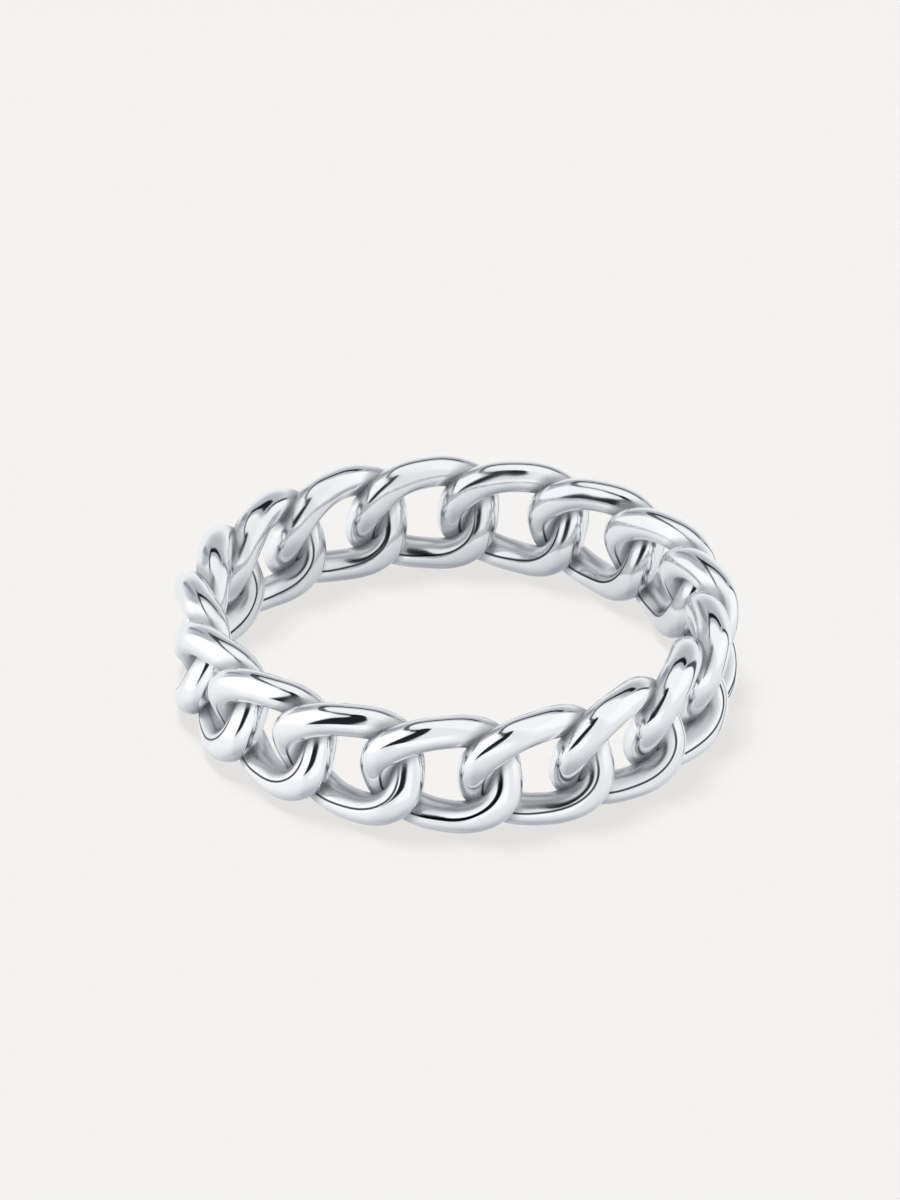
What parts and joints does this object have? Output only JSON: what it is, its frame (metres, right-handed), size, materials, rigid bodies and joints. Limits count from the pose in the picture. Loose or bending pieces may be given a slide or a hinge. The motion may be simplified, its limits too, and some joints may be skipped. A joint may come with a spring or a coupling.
{
  "type": "interlocking ring",
  "caption": "Finger ring made of a closed round of interlocking polished curb links, lying on its side, with an open finger hole.",
  "frame": {"origin": "centre of the finger opening, at half the height of the band", "axes": "+Z along the ring's axis, which is upright as the ring lies on its side; link_01 is centred on -Y and the links count from there towards +X"},
  "size_m": [0.0212, 0.0212, 0.0046],
  "materials": {
    "silver": "polished"
  },
  "bodies": {
    "root": {"link_01": "silver", "link_02": "silver", "link_03": "silver", "link_04": "silver", "link_05": "silver", "link_06": "silver", "link_07": "silver", "link_08": "silver", "link_09": "silver", "link_10": "silver", "link_11": "silver", "link_12": "silver", "link_13": "silver", "link_14": "silver", "link_15": "silver", "link_16": "silver", "link_17": "silver"}
  },
  "joints": []
}
